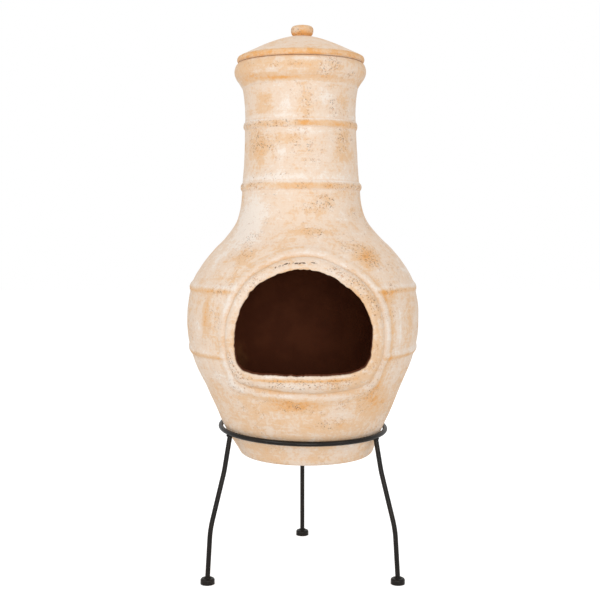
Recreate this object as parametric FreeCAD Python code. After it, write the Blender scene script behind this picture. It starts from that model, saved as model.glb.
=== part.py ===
import FreeCAD, Part
import math
import os

# A clay chiminea hanging in a three-legged stand, in millimetres.
# +Z is up, the mouth faces -Y, and the origin is on the floor under the middle of the stand.
#
# Stand: a ring of round bar, three bent legs butted under it, a foot and weld beads on each.
# Pot: a thrown bowl, belly and shoulder with the mouth cut in their front, a thrown neck luted on
# top, a rolled rim, coils of clay that cover the joints, and a raised surround at the mouth. It
# hangs by its cone.
# Lid: a shallow dome with a knob, loose on the rim.

vec = FreeCAD.Vector

# Clay walls
wall = 15.0
neckWall = 13.0
floorThick = 18.0

# Heights and radii of the pot and its lid
baseZ = 195.0          # underside of the pot
jointZ = 638.0         # where the neck is luted to the belly, behind the lower neck coil
neckTopZ = 799.0       # foot of the rolled rim
rimTopZ = 838.0        # flat that the lid rests on
topZ = 900.0           # top of the knob

# Outer outlines as (radius, height), from the base up
bowlOutline = [(113.6, 205.0), (132.3, 240.0), (162.0, 308.0), (182.9, 361.0), (188.6, 384.0),
               (192.0, 420.0), (188.6, 459.0), (181.8, 485.0), (167.0, 510.0), (147.0, 535.0),
               (122.8, 560.0), (106.3, 585.0), (99.8, 608.0), (96.8, jointZ)]
neckOutline = [(96.8, jointZ), (94.0, 672.0), (92.2, 708.0), (90.9, 752.0), (91.9, 779.0), (94.8, neckTopZ)]
rimOutline = [(94.8, neckTopZ), (99.6, 805.5), (105.2, 813.5), (107.9, 822.0), (107.1, 830.0), (103.6, 836.5)]
baseFlatR = 101.0      # flat underside, inside its rounded corner
rimFlatR = 101.0       # outer edge of the rim's flat
flueR = 80.0           # inside of the rim
jointBoreR = 83.0      # inside of the belly where the neck joins

# Mouth: a round head on short sides that draw in to a flat sill
mouthR = 103.0
mouthSpringZ = 405.0   # height of the round head's centre
mouthSillZ = 355.0
mouthTaper = 4.0       # how far each side draws in by the sill
mouthCornerR = 18.0
collarWidth = 26.0
collarRise = 10.0      # how far the rolled surround stands off the belly
collarRound = 4.5
foldWidth = 18.0       # the flatter coil outside the rolled surround
foldRise = 4.0
sillDrop = 1.3         # the surround is this much wider under the sill

# The belly is made in three rings, luted together behind the belly coils
bowlTopZ = 375.0
bellyTopZ = 475.0
shellRings = {"fire_bowl": (baseZ, bowlTopZ), "belly_wall": (bowlTopZ, bellyTopZ), "shoulder": (bellyTopZ, jointZ)}

# Coils: height and how far each stands off the wall
coilR = 11.0           # curve of a coil's face
neckCoils = {"neck_band_lower": (jointZ, 3.4), "neck_band_upper": (736.0, 2.6)}
bellyCoils = {"belly_band_lower": (bowlTopZ, 3.4), "belly_band_upper": (bellyTopZ, 3.4)}

# Lid and knob
seatGap = 0.3          # loose pieces stand this far apart
lidR = 104.2
lidEdge = 10.0         # thickness of the lid's rim
lidRound = 2.6
domeOutline = [(100.5, 851.4), (78.0, 860.8), (58.0, 869.3), (36.0, 877.4), (18.0, 881.6), (0.0, 882.8)]
lidWall = 11.0
ribR = 77.0            # outside of the rib that keeps the lid centred in the flue
ribDepth = 10.0
knobR = 19.5
knobNeckR = 16.0
knobLowZ = 884.5       # underside of the knob's round
knobRound = 5.0

# Stand
barR = 4.0             # 8 mm round bar
ringR = 137.1          # to the middle of the bar
ringZ = 240.0
legAngles = {"left": -150.0, "right": -30.0, "rear": 90.0}
legOutline = [(135.3, 237.0), (146.0, 180.0), (171.5, 88.0), (177.2, 4.0)]
legBends = [150.0, 150.0]
footR = 11.5
footHigh = 9.5
footRound = 3.4
footWeldR = 6.5
legWeldR = 5.85
legWeldLow = 5.6       # from the leg's top end down to the bead's lower edge
legWeldHigh = 5.0
legWeldOut = 0.8       # the bead sits this much outwards of the leg's middle, clear of the clay
seamAngle = 62.0       # where the ring's ends are welded, beside the rear leg
seamR = 1.8            # curve of that bead's face
seamRise = 0.8


def point(outlinePoint):
    """A point of an outline, in the plane y = 0."""
    return vec(outlinePoint[0], 0, outlinePoint[1])


def line(start, end):
    return Part.makeLine(point(start), point(end))


def arc(start, middle, end):
    return Part.Arc(point(start), point(middle), point(end)).toShape()


def curve(outline):
    """A smooth curve through all the points of an outline."""
    spline = Part.BSplineCurve()
    spline.interpolate([point(p) for p in outline])
    return spline.toShape()


def roundCorner(start, corner, end, radius):
    """The arc that rounds a corner, with the points where it meets the two sides."""
    a, b, c = point(start), point(corner), point(end)
    toStart = (a - b).normalize()
    toEnd = (c - b).normalize()
    half = toStart.getAngle(toEnd) / 2
    enter = b + toStart * (radius / math.tan(half))
    leave = b + toEnd * (radius / math.tan(half))
    middle = b + (toStart + toEnd).normalize() * (radius / math.sin(half) - radius)
    return (enter.x, enter.z), (middle.x, middle.z), (leave.x, leave.z)


def turned(edges):
    """The solid made by turning a closed outline once round the axis."""
    wire = Part.Wire(Part.__sortEdges__(edges))
    return Part.Face(wire).revolve(vec(0, 0, 0), vec(0, 0, 1), 360)


def inset(outline, depth):
    """Outline points moved square to the outline, towards the axis if depth is positive."""
    moved = []
    last = len(outline) - 1
    for i, (r, z) in enumerate(outline):
        before = outline[max(i - 1, 0)]
        after = outline[min(i + 1, last)]
        dr = after[0] - before[0]
        dz = after[1] - before[1]
        run = math.hypot(dr, dz)
        moved.append((r - depth * dz / run, z + depth * dr / run))
    return moved


def copyTurned(shape, degrees):
    copy = shape.copy()
    copy.rotate(vec(0, 0, 0), vec(0, 0, 1), degrees)
    return copy


def single(shape):
    """The one solid of a result that came back as a compound."""
    if len(shape.Solids) != 1:
        raise ValueError("expected one solid, got %d" % len(shape.Solids))
    return shape.Solids[0]


# ---- pot ----

def bowlSolid(grow=0.0):
    """The belly's outside from base to joint, filled, or the same standing off by grow."""
    outline = inset(bowlOutline, -grow)
    outline[-1] = (bowlOutline[-1][0] + grow, jointZ)
    corner = outline[0]
    foot = (baseFlatR, baseZ)
    start, middle, end = roundCorner(foot, (corner[0] - 5.0, baseZ), corner, 7.0)
    edges = [line((0, baseZ), start), arc(start, middle, end), line(end, corner), curve(outline)]
    edges += [line(outline[-1], (0, jointZ)), line((0, jointZ), (0, baseZ))]
    return turned(edges)


def bowlHollow():
    """The space inside the belly, from its floor up to the joint."""
    inner = inset(bowlOutline, wall)[1:]
    inner[-1] = (jointBoreR, jointZ)
    floorZ = baseZ + floorThick
    foot = (inner[0][0] - 24.0, floorZ)
    corner = (inner[0][0] - 12.0, floorZ)
    start, middle, end = roundCorner(foot, corner, inner[0], 10.0)
    edges = [line((0, floorZ), start), arc(start, middle, end), line(end, inner[0]), curve(inner)]
    edges += [line(inner[-1], (0, jointZ)), line((0, jointZ), (0, floorZ))]
    return turned(edges)


def mouthPrism(grow=0.0):
    """The mouth's outline, grown all round, carried from the axis out past the belly's front."""
    radius = mouthR + grow
    sill = mouthSillZ - grow * sillDrop
    foot = radius - mouthTaper
    spring = (radius, mouthSpringZ)
    start, middle, end = roundCorner(spring, (foot, sill), (0, sill), mouthCornerR + grow)
    edges = [Part.Arc(vec(-radius, 0, mouthSpringZ), vec(0, 0, mouthSpringZ + radius),
                      vec(radius, 0, mouthSpringZ)).toShape()]
    for side in (1, -1):
        flip = [(side * p[0], p[1]) for p in (spring, start, middle, end)]
        edges.append(line(flip[0], flip[1]))
        edges.append(arc(flip[1], flip[2], flip[3]))
    edges.append(line(end, (-end[0], end[1])))
    face = Part.Face(Part.Wire(Part.__sortEdges__(edges)))
    return face.extrude(vec(0, -250, 0))


def shellRing(lowZ, highZ):
    """The thrown shell between two heights, with the mouth cut through its front."""
    slab = Part.makeCylinder(250, highZ - lowZ, vec(0, 0, lowZ))
    return single(bowlSolid().cut(bowlHollow()).cut(mouthPrism()).common(slab))


def mouthCollar():
    """The rolled surround luted round the mouth, its two proud edges rounded over."""
    ring = mouthPrism(collarWidth).cut(mouthPrism())
    collar = single(ring.common(bowlSolid(collarRise)).cut(bowlSolid()))
    proud = [e for e in collar.Edges if standOff(e) > collarRise - 0.5]
    return collar.makeFillet(collarRound, proud)


def standOff(edge):
    """How far the middle of an edge stands off the belly."""
    middle = edge.valueAt((edge.FirstParameter + edge.LastParameter) / 2)
    return Part.Vertex(middle).distToShape(bowlSolid())[0]


def mouthFold():
    """The flatter coil outside the surround, which the belly coils run into."""
    ring = mouthPrism(collarWidth + foldWidth).cut(mouthPrism(collarWidth))
    return single(ring.common(bowlSolid(foldRise)).cut(bowlSolid()))


def wallRadius(outline, z):
    """Outer radius of the clay at a height."""
    level = Part.makeLine(vec(0, 0, z), vec(400, 0, z))
    return curve(outline).distToShape(level)[1][0][0].x


def coil(outline, z, rise, core):
    """A coil laid round the wall: the part of a ring of clay that stands outside it."""
    middle = wallRadius(outline, z) + rise - coilR
    ring = Part.makeTorus(middle, coilR, vec(0, 0, z), vec(0, 0, 1))
    return ring.cut(core)


def bellyCoil(z, rise):
    """A belly coil, stopped where it meets the fold round the mouth."""
    return single(coil(bowlOutline, z, rise, bowlSolid()).cut(mouthPrism(collarWidth + foldWidth)))


def neckSolid():
    """The neck's outside from the joint to the rim, filled."""
    edges = [curve(neckOutline), line(neckOutline[-1], (0, neckTopZ))]
    edges += [line((0, neckTopZ), (0, jointZ)), line((0, jointZ), neckOutline[0])]
    return turned(edges)


def flue():
    """The space inside the neck."""
    inner = inset(neckOutline, neckWall)
    inner[0] = (jointBoreR, jointZ)
    inner[-1] = (flueR, neckTopZ)
    edges = [curve(inner), line(inner[-1], (0, neckTopZ)), line((0, neckTopZ), (0, jointZ))]
    edges.append(line((0, jointZ), inner[0]))
    return turned(edges)


def neckCoil(z, rise):
    """A neck coil; the lower one covers the luted joint."""
    core = bowlSolid().fuse(neckSolid())
    outline = bowlOutline if z <= jointZ else neckOutline
    return single(coil(outline, z, rise, core))


def rim():
    """The rolled rim, with the flat that the lid rests on."""
    start, middle, end = roundCorner((rimFlatR, rimTopZ), (flueR, rimTopZ), (flueR, neckTopZ), 3.0)
    edges = [curve(rimOutline), arc(rimOutline[-1], (102.6, 837.6), (rimFlatR, rimTopZ))]
    edges += [line((rimFlatR, rimTopZ), start), arc(start, middle, end), line(end, (flueR, neckTopZ))]
    edges.append(line((flueR, neckTopZ), rimOutline[0]))
    return turned(edges)


# ---- lid ----

def lid():
    """A shallow dome, hollow beneath, with a rib that drops into the flue."""
    lowZ = rimTopZ + seatGap
    highZ = lowZ + lidEdge
    ribIn = ribR - lidWall
    lower = roundCorner((ribR, lowZ), (lidR, lowZ), (lidR, highZ), lidRound)
    upper = roundCorner((lidR, lowZ), (lidR, highZ), domeOutline[0], lidRound * 0.7)
    hollow = [(ribIn, lowZ), (50.0, 860.0), (25.0, 869.0), (0.0, 871.5)]
    edges = [line((ribR, lowZ), lower[0]), arc(*lower), line(lower[2], upper[0]), arc(*upper)]
    edges += [line(upper[2], domeOutline[0]), curve(domeOutline), line(domeOutline[-1], hollow[-1])]
    edges += [curve(hollow), line((ribIn, lowZ), (ribIn + 2, lowZ - ribDepth))]
    edges += [line((ribIn + 2, lowZ - ribDepth), (ribR - 2, lowZ - ribDepth))]
    edges.append(line((ribR - 2, lowZ - ribDepth), (ribR, lowZ)))
    return turned(edges)


def knob():
    """A round knob on a short neck, luted to the top of the lid."""
    low = roundCorner((knobNeckR, knobLowZ), (knobR, knobLowZ), (knobR, topZ), 2.2)
    high = roundCorner((knobR, knobLowZ), (knobR, topZ), (0, topZ), knobRound)
    edges = [line((0, 875), (knobNeckR, 875)), line((knobNeckR, 875), (knobNeckR, knobLowZ))]
    edges += [line((knobNeckR, knobLowZ), low[0]), arc(*low), line(low[2], high[0]), arc(*high)]
    edges += [line(high[2], (0, topZ)), line((0, topZ), (0, 875))]
    return single(turned(edges).cut(lid()))


# ---- stand ----

def ring():
    """The ring of round bar that the pot's cone sits in."""
    return Part.makeTorus(ringR, barR, vec(0, 0, ringZ), vec(0, 0, 1))


def bar(outline, bends, radius):
    """Round bar along an outline, with an arc of its own radius at each inner point."""
    edges = []
    start = outline[0]
    for i, bend in enumerate(bends):
        enter, middle, leave = roundCorner(start, outline[i + 1], outline[i + 2], bend)
        edges.append(line(start, enter))
        edges.append(arc(enter, middle, leave))
        start = leave
    edges.append(line(start, outline[-1]))
    path = Part.Wire(edges)
    along = point(outline[1]) - point(outline[0])
    section = Part.Wire(Part.Circle(point(outline[0]), along, radius).toShape())
    return path.makePipeShell([section], True, True)


def leg():
    """A leg in the plane y = 0, coped to the ring above and cut flat on its foot."""
    floorSlab = Part.makeBox(400, 400, footHigh, vec(0, -200, 0))
    return single(bar(legOutline, legBends, barR).cut(ring()).cut(floorSlab))


def foot():
    """A round foot with its upper edge rounded."""
    puck = Part.makeCylinder(footR, footHigh, vec(footCentre(), 0, 0))
    top = [e for e in puck.Edges if e.BoundBox.ZMin > footHigh - 0.01]
    return puck.makeFillet(footRound, top)


def footCentre():
    """Distance of a foot's middle from the axis: where the leg's line meets the foot."""
    low, high = legOutline[-1], legOutline[-2]
    return low[0] + (high[0] - low[0]) * (footHigh - low[1]) / (high[1] - low[1])


def legWeld():
    """The bead round a leg's top end, against the underside of the ring."""
    up = (point(legOutline[0]) - point(legOutline[1])).normalize()
    low = point(legOutline[0]) - up * legWeldLow + vec(legWeldOut, 0, 0)
    bead = Part.makeCone(barR + 0.3 + legWeldOut, legWeldR, legWeldHigh, low, up)
    return single(bead.cut(bar(legOutline, legBends, barR)).cut(ring()))


def footWeld():
    """The bead where a leg meets its foot."""
    bead = Part.makeCone(footWeldR, barR + 0.4, 3.2, vec(footCentre(), 0, footHigh))
    return single(bead.cut(leg()))


def ringSeam():
    """The bead across the ring's joint, ground off on the side that the clay touches."""
    bead = Part.makeTorus(barR - seamR + seamRise, seamR, vec(ringR, 0, ringZ), vec(0, 1, 0))
    ground = Part.makeBox(40, 40, 40, vec(ringR - 40.5, -20, ringZ - 20))
    return copyTurned(single(bead.cut(ring()).cut(ground)), seamAngle)


def atEachLeg(shape):
    """Copies of one shape at the three legs, as one group of separate solids."""
    return Part.makeCompound([copyTurned(shape, angle) for angle in legAngles.values()])


def main():
    nodes = {"stand_ring": ring(), "ring_seam_weld": ringSeam()}
    for name, angle in legAngles.items():
        nodes["leg_" + name] = copyTurned(leg(), angle)
        nodes["foot_" + name] = copyTurned(foot(), angle)
    nodes["leg_welds"] = atEachLeg(legWeld())
    nodes["foot_welds"] = atEachLeg(footWeld())
    for name, (lowZ, highZ) in shellRings.items():
        nodes[name] = shellRing(lowZ, highZ)
    nodes["mouth_collar"] = mouthCollar()
    nodes["mouth_fold"] = mouthFold()
    for name, (z, rise) in bellyCoils.items():
        nodes[name] = bellyCoil(z, rise)
    for name, (z, rise) in neckCoils.items():
        nodes[name] = neckCoil(z, rise)
    nodes["chimney"] = neckSolid().cut(flue())
    nodes["chimney_rim"] = rim()
    nodes["lid"] = lid()
    nodes["lid_knob"] = knob()
    os.makedirs("parts", exist_ok=True)
    for name, shape in nodes.items():
        box = shape.BoundBox
        print("%-18s %9.1f cm3  z %6.1f to %6.1f  valid %s"
              % (name, shape.Volume / 1000, box.ZMin, box.ZMax, shape.isValid()))
        shape.exportStep("parts/" + name + ".step")


main()
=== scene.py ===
import itertools
import math

import bpy
import numpy as np
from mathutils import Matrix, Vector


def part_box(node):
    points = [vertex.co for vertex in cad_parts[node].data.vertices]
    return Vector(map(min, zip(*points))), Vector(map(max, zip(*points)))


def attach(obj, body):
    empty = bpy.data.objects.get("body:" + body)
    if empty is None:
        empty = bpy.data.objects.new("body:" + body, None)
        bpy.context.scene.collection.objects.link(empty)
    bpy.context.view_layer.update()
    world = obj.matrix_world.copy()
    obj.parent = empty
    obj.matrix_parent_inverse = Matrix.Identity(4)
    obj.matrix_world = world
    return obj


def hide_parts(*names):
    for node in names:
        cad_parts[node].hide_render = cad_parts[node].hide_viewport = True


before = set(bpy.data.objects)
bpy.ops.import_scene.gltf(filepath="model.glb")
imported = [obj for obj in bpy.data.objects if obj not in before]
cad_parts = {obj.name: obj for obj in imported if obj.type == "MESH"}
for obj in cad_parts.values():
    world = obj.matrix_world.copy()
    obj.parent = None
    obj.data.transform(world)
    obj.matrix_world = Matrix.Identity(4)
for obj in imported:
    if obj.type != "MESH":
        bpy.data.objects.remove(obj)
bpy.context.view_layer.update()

print("frame loaded,", len(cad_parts), "parts")

mm = 0.001
fullTurn = 2 * math.pi
hillLattice = 24                   # random values each way before the hills repeat


# 0 below low, 1 above high, and a smooth S between them
def ease(value, low, high):
    t = np.clip((value - low) / (high - low), 0, 1)
    return t * t * (3 - 2 * t)


# A soft round spot: 1 in its middle, exp(-distance squared) away from it
def spot(across, along, wide, high):
    return np.exp(-(across / wide) ** 2 - (along / high) ** 2)


# The same along one direction: exp(-share squared), share being the distance over wide
def hump(value, middle, wide):
    return np.exp(-((value - middle) / wide) ** 2)


# 1 between full and fade, easing to 0 at start and at end
def stretch(value, start, full, fade, end):
    return ease(value, start, full) * (1 - ease(value, fade, end))


# The larger of two heights, rounded where they cross
def softMax(a, b, blend):
    return (a + b + np.sqrt((a - b) ** 2 + blend ** 2) - blend) / 2


# Random hills from -1 to 1: random values on a cubic lattice, eased from corner to corner
def hills(places, cell, seed):
    lattice = np.random.default_rng(seed).uniform(-1, 1, (hillLattice,) * 3)
    spread = places / np.asarray(cell) + 1000
    whole = np.floor(spread).astype(int)
    part = spread - whole
    part = part * part * (3 - 2 * part)
    total = 0
    for corner in itertools.product((0, 1), repeat=3):
        pick = (whole + corner) % hillLattice
        weight = np.where(corner, part, 1 - part).prod(-1)
        total = total + weight * lattice[pick[..., 0], pick[..., 1], pick[..., 2]]
    return total


# Points at even steps along a smooth line: between two outline points the line is the cubic that
# has the slopes of the outline there
def smoothLine(outline, step):
    p = np.array(outline, float) * mm
    run = np.r_[0, np.cumsum(np.hypot(*np.diff(p, axis=0).T))]
    slope = np.gradient(p, run, axis=0)
    at = np.linspace(0, run[-1], 60 * len(p))
    k = np.clip(np.searchsorted(run, at, "right") - 1, 0, len(p) - 2)
    gap = (run[k + 1] - run[k])[:, None]
    t = (at - run[k])[:, None] / gap
    fine = (1 + 2 * t) * (1 - t) ** 2 * p[k] + t * (1 - t) ** 2 * gap * slope[k]
    fine += t * t * (3 - 2 * t) * p[k + 1] + t * t * (t - 1) * gap * slope[k + 1]
    length = np.r_[0, np.cumsum(np.hypot(*np.diff(fine, axis=0).T))]
    even = np.linspace(0, length[-1], max(2, round(length[-1] / (step * mm))) + 1)
    return np.column_stack([np.interp(even, length, fine[:, 0]), np.interp(even, length, fine[:, 1])])


# Unit vectors square to a line of (radius, height), on its right-hand side going along it
def squareTo(profile):
    along = np.gradient(profile, axis=0)
    along /= np.linalg.norm(along, axis=1)[:, None]
    return np.column_stack([along[:, 1], -along[:, 0]])


# How far the hand-built pot wanders off its axis, as height and mm to the right: its base sits to
# the right in the ring, and the neck was luted on to the left of the belly
wander = {
    "line": [(195, 7.2), (212, 5.0), (230, 2.3), (240, 1.8), (255, 2.0), (269, 2.2), (283, 2.0),
             (297, 1.7), (312, 1.1), (328, 0.7), (400, 0.2), (475, 0.4), (510, 1.4), (545, 1.9),
             (600, -2.2), (640, -2.8), (700, -3.0), (760, -3.7), (800, -4.3), (825, -4.1),
             (838, -3.4), (850, -2.9), (875, -2.4)],
    "reach": 15,                   # each height takes the mean of this many mm below and above it
}
wanderUp = np.arange(190, 905.0)
wanderWide = np.arange(wanderUp[0] - wander["reach"], wanderUp[-1] + wander["reach"] + 1)
wanderMean = np.ones(2 * wander["reach"] + 1) / (2 * wander["reach"] + 1)
wanderAside = np.convolve(np.interp(wanderWide, *np.array(wander["line"]).T), wanderMean, "valid")


# The wander at a height, in metres
def lean(height):
    return np.interp(np.asarray(height) / mm, wanderUp, wanderAside) * mm


# radius, angle and height to x, y, z: angle 0 is the front, growing to the right
def around(radius, angle, height):
    x, y = radius * np.sin(angle) + lean(height), -radius * np.cos(angle)
    return np.stack([x, y, height + 0 * angle], -1)


# A full turn of even angles, starting and ending at the back
def allRound(columns):
    return (np.arange(columns) - columns // 2) * fullTurn / columns


# An outline's rows carried round, each point moved off along the outline's square
def carried(rows, square, angles, off):
    radius, height = rows[:, :1] + square[:, :1] * off, rows[:, 1:] + square[:, 1:] * off
    return around(radius, angles[None, :], height)


# Vertices and faces gathered in blocks; each block of vertices carries the same marks
class Skin:
    def __init__(self, *marks):
        self.points = []
        self.marks = {mark: [] for mark in marks}
        self.faces = []
        self.count = 0

    def add(self, points, **marks):
        flat = points.reshape(-1, 3)
        self.points.append(flat)
        for mark, kept in self.marks.items():
            kept.append(np.broadcast_to(marks.get(mark, 0.0), points.shape[:-1]).reshape(-1))
        first = self.count
        self.count += len(flat)
        return np.arange(first, self.count).reshape(points.shape[:-1])

    # Quads between neighbours of a grid of vertex numbers
    def quads(self, grid, keep=None):
        square = np.stack([grid[:-1, :-1], grid[:-1, 1:], grid[1:, 1:], grid[1:, :-1]], -1)
        square = square.reshape(-1, 4) if keep is None else square[keep]
        self.faces += square.tolist()

    # Between a fine row and a row with half as many points, five-sided faces
    def halve(self, fine, coarse):
        fine, coarse = np.r_[fine, fine[0]], np.r_[coarse, coarse[0]]
        corners = [fine[:-2:2], fine[1:-1:2], fine[2::2], coarse[1:], coarse[:-1]]
        self.faces += np.stack(corners, -1).tolist()

    # Triangles from a closed row to one point beyond it
    def close(self, row, tip):
        self.faces += np.stack([row, np.roll(row, -1), np.full(len(row), tip)], -1).tolist()

    # The finished object, without the points that no face uses
    def build(self, name):
        used = np.unique(np.concatenate([np.array(face) for face in self.faces]))
        number = np.zeros(self.count, int)
        number[used] = np.arange(len(used))
        mesh = bpy.data.meshes.new(name)
        faces = [number[face].tolist() for face in self.faces]
        mesh.from_pydata(np.vstack(self.points)[used].tolist(), [], faces)
        for mark, kept in self.marks.items():
            layer = mesh.attributes.new(mark, "FLOAT", "POINT")
            layer.data.foreach_set("value", np.concatenate(kept)[used].astype(np.float32))
        mesh.polygons.foreach_set("use_smooth", np.ones(len(mesh.polygons), bool))
        mesh.update()
        piece = bpy.data.objects.new(name, mesh)
        bpy.context.scene.collection.objects.link(piece)
        return piece


# A grid of vertex numbers that goes right round: its first column again after its last
def wrap(grid):
    return np.concatenate([grid, grid[:, :1]], 1)


# The same, joined round the other way too
def wrapBoth(grid):
    return wrap(np.vstack([grid, grid[:1]]))


# Clay surface shared by every thrown piece
clayHand = {
    "lumps": (0.55, 75),           # height and spacing of slow unevenness, mm
    "dents": (0.28, 21),
    "throwing": (0.16, 9),         # rings left by the fingers, one above the other
    "grain": (0.07, 5.5),
    "ringLength": 90,              # how far one of those rings runs before it changes
}


# How far the hand-thrown clay stands off its outline: hills of four sizes, one of them drawn
# out round the pot into rings
def thrown(places, seed):
    long = clayHand["ringLength"] * mm
    total = 0
    for k, name in enumerate(("lumps", "dents", "throwing", "grain")):
        height, cell = clayHand[name]
        size = (long, long, cell * mm) if name == "throwing" else cell * mm
        total = total + height * mm * hills(places, size, seed + k)
    return total


# Where the limewash is thin: slow patches, and brush strokes drawn out round the pot
def rubbed(places, seed):
    patches = 0.6 * hills(places, 46 * mm, seed) + 0.4 * hills(places, 19 * mm, seed + 1)
    strokes = hills(places, (60 * mm, 60 * mm, 9 * mm), seed + 2)
    return 0.26 * patches + 0.12 * strokes


# Adds soft patches listed one by one: (degrees round from the front, height, half width, half height,
# amount)
def patched(angle, height, radius, patches):
    total = 0
    for degrees, middle, wide, high, amount in patches:
        away = (angle - math.radians(degrees) + math.pi) % fullTurn - math.pi
        total = total + amount * spot(away * radius / mm, height / mm - middle, wide, high)
    return total


# Pot: bowl, belly and shoulder with the mouth, in mm
pot = {
    "columns": 320,
    "step": 2.9,                   # rows, mm
    "inset": 0.5,                  # leaves room for the lumps inside the true outline
    "wall": 15.0,
    "outside": [(101.0, 195.2), (107.5, 196.6), (111.6, 200.2), (114.3, 206.0), (131.5, 240.0),
                (160.8, 308.0), (182.9, 361.0), (188.6, 384.0), (192.0, 420.0), (188.6, 459.0),
                (182.0, 485.0), (167.9, 510.0), (148.2, 535.0), (124.0, 560.0), (106.6, 585.0),
                (99.8, 608.0), (96.8, 638.0)],
    "inside": [(83.0, 638.0), (85.5, 606.0), (93.0, 577.0), (112.2, 549.5), (136.0, 524.5),
               (155.5, 500.0), (168.0, 477.0), (173.8, 455.0), (177.0, 420.0), (174.0, 388.0),
               (168.5, 364.0), (148.0, 313.0), (118.6, 246.0), (107.5, 222.0), (101.0, 215.0),
               (90.0, 213.0)],
    "bands": {374.0: 3.3, 477.0: 3.3},          # heights of the belly coils and their rise
    "bandHalf": 8.0,
    "ringTop": 262.0,              # below this height nothing stands out, to clear the stand's ring
}

mouth = {
    "springHeight": 405.0,         # height of the middle of the round head
    "belly": 186.0,                # radius at which angles are turned into lengths round the pot
    "halfWide": 102.6,             # all lengths here lie on the clay's surface, mm
    "head": 104.6,
    "sill": 53.0,
    "squareness": 5.0,             # of the lower corners
    "leftSquareness": 2.4,         # how much squarer the left corner is than the right
    "knife": [(58, 15, -3.4), (131, 9, 1.4), (158, 14, -1.6)],      # bearing, spread, mm outwards
    "roll": {"side": 25.0, "slant": 3.8, "top": 4.0, "bottom": 10.0, "crown": 0.42},
    "rollRise": 9.6,
    "foldWide": 18.0,
    "foldRise": 3.1,
    "unevenEdge": 0.9,             # the roll's outer edge wavers by this much
    "lip": 3.6,                    # the roll turns in to the opening over this width
    "lipDeep": 3.4,
    "window": (52, 118.0, 178.0),  # columns each side, and reach below and above, of the finer mesh
    "spokes": 44,
}


# Reach of the opening from its middle at each bearing: half an ellipse above, and below it a
# superellipse, drawn in on the right and pushed out on the left as the knife went
def mouthReach(bearing):
    c, s = np.cos(bearing), np.sin(bearing)
    power = np.where(s > 0, 2.0, mouth["squareness"] - mouth["leftSquareness"] * np.minimum(c, 0))
    tall = np.where(s > 0, mouth["head"], mouth["sill"])
    reach = (np.abs(c / mouth["halfWide"]) ** power + np.abs(s / tall) ** power) ** (-1 / power)
    for middle, spread, out in mouth["knife"]:
        reach = reach + out * hump(np.degrees(bearing), middle, spread)
    return reach * mm


# Width of the rolled surround at each bearing: narrow on the left, wide above and below
def rollWidth(bearing):
    roll = mouth["roll"]
    c, s = np.cos(bearing), np.sin(bearing)
    extra = np.where(s > 0, roll["top"], roll["bottom"])
    return (roll["side"] + roll["slant"] * c + extra * s * s) * mm


# Bearing from the mouth's middle, and distance outside the opening square to its edge
def fromMouth(angle, along):
    x, y = angle * mouth["belly"] * mm, along
    bearing = np.arctan2(y, x)
    nudge = 0.01
    reach = mouthReach(bearing)
    skew = (mouthReach(bearing + nudge) - mouthReach(bearing - nudge)) / (2 * nudge * reach)
    return bearing, (np.hypot(x, y) - reach) / np.sqrt(1 + skew ** 2)


# Height of the rolled surround and of the flat fold outside it, by distance from the opening:
# the roll is a flattened round that ends in a crease, the fold a half wave
def surround(bearing, away):
    ring = around(0.13, bearing, 0.0)
    width = rollWidth(bearing)
    away = away + mouth["unevenEdge"] * mm * hills(ring, 33 * mm, 73) * ease(away, 0.012, 0.022)
    share = away / width
    top = mouth["roll"]["crown"]
    crown = np.clip(np.where(share < top, (top - share) / 1.1, (share - top) / (1 - top)), 0, 1)
    roll = mouth["rollRise"] * mm * (1 - crown ** 2.1) ** 0.75 * (share < 1)
    tall = np.sin(bearing) ** 2
    out = np.clip((away - width) / (mouth["foldWide"] * mm * (1 + 0.4 * tall)), 0, 1)
    fold = mouth["foldRise"] * mm * np.sin(math.pi * out ** 0.85) ** 1.5
    fold = fold * (0.82 + 0.30 * hills(ring, 48 * mm, 74))
    crease = (0.25 + 0.35 * tall) * mm * hump(share, 1, 0.10) * (1 + 0.6 * hills(ring, 20 * mm, 75))
    return roll, fold, crease


# Marks round the mouth by bearing and distance: rubbed orange at the very edge, pale on the crown as a
# painted highlight, orange in the crease as painted shade, pale on the fold as a painted highlight,
# rubbed on the right of the roll and outside the fold there, and along the sill a pale edge over an
# orange line
def mouthBareAndPaintedLight(bearing, away):
    width = rollWidth(bearing)
    c, tall = np.cos(bearing), np.sin(bearing) ** 2
    low = ease(-np.sin(bearing), 0.45, 0.75)
    patchy = 0.65 + 0.6 * hills(around(0.13, bearing, 0.0), 26 * mm, 76)
    bareAndPaintedLight = 0.42 * hump(away, 0, 4.5 * mm) * (0.6 + 0.4 * hills(around(0.1, bearing, 0.0), 40 * mm, 61))
    # painted highlight on the crown of the roll, painted shade in the crease, painted highlight on the
    # fold
    bareAndPaintedLight = bareAndPaintedLight - 0.20 * tall * hump(away, 0.5 * width, 0.26 * width)
    bareAndPaintedLight = bareAndPaintedLight + (0.15 + 0.50 * tall) * patchy * hump(away, width, 3.6 * mm)
    bareAndPaintedLight = bareAndPaintedLight - 0.42 * patchy * hump(away, width + 7.5 * mm, 5 * mm)
    bareAndPaintedLight = bareAndPaintedLight + 0.26 * ease(c, 0.2, 0.8) * hump(away, 0.4 * width, 0.5 * width)
    bareAndPaintedLight = bareAndPaintedLight + 0.55 * ease(c, 0.6, 0.95) * hump(away, width + 17.5 * mm, 5 * mm)
    return bareAndPaintedLight + low * (0.75 * hump(away, 7.8 * mm, 2.2 * mm) - 0.6 * hump(away, 1.5 * mm, 2.8 * mm))


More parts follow.
